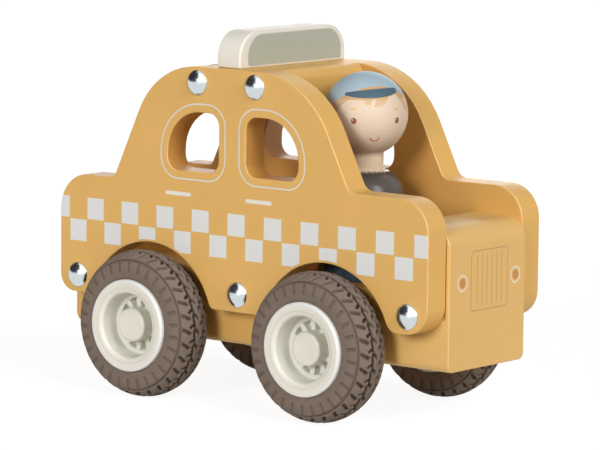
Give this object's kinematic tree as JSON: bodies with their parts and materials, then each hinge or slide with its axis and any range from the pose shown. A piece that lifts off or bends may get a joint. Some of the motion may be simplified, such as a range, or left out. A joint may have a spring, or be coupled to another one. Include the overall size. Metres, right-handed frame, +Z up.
{
  "type": "toy taxi",
  "caption": "Wooden toy taxi: sawn side panels bolted to blocks, a sign on the roof board, rubber tyres on rolling axles and a peg driver that lifts out of its pocket.",
  "frame": {"origin": "on the ground under the middle of the car, midway between its ends and its wheels", "axes": "+X forward along the car, +Y to the car's left along the axles, +Z up"},
  "size_m": [0.1964, 0.1048, 0.1531],
  "materials": {
    "mustard_paint": "satin mustard paint on wood with pale printed marks",
    "cream_paint": "satin cream paint on wood with a sage field on its faces",
    "beech": "plain turned wood",
    "bolt_chrome": "polished domes",
    "axle_steel": "plain drawn rod",
    "ivory_plastic": "smooth moulded ivory",
    "taupe_rubber": "matt taupe rubber",
    "doll_paint": "painted wood, dark glossy jacket and matt face"
  },
  "bodies": {
    "car_body": {"side_panel_right": "mustard_paint", "side_panel_left": "mustard_paint", "floor_block": "mustard_paint", "nose_block": "mustard_paint", "tail_block": "mustard_paint", "roof_board": "mustard_paint", "roof_sign": "cream_paint", "sign_dowels": "beech", "dome_bolts_right": "bolt_chrome", "dome_bolts_left": "bolt_chrome"},
    "front_wheels": {"front_axle": "axle_steel", "rim_front_right": "ivory_plastic", "rim_front_left": "ivory_plastic", "tyre_front_right": "taupe_rubber", "tyre_front_left": "taupe_rubber"},
    "rear_wheels": {"rear_axle": "axle_steel", "rim_rear_right": "ivory_plastic", "rim_rear_left": "ivory_plastic", "tyre_rear_right": "taupe_rubber", "tyre_rear_left": "taupe_rubber"},
    "driver": {"driver": "doll_paint"}
  },
  "joints": [
    {"name": "front_roll", "type": "hinge", "parent": "car_body", "child": "front_wheels", "pos_m": [0.045, 0, 0.0305], "axis": [0, 1, 0], "continuous": true},
    {"name": "rear_roll", "type": "hinge", "parent": "car_body", "child": "rear_wheels", "pos_m": [-0.0468, 0, 0.0305], "axis": [0, 1, 0], "continuous": true},
    {"name": "driver_lift", "type": "slide", "parent": "car_body", "child": "driver", "axis": [0, 0, 1], "range_m": [0, 0.09]}
  ]
}
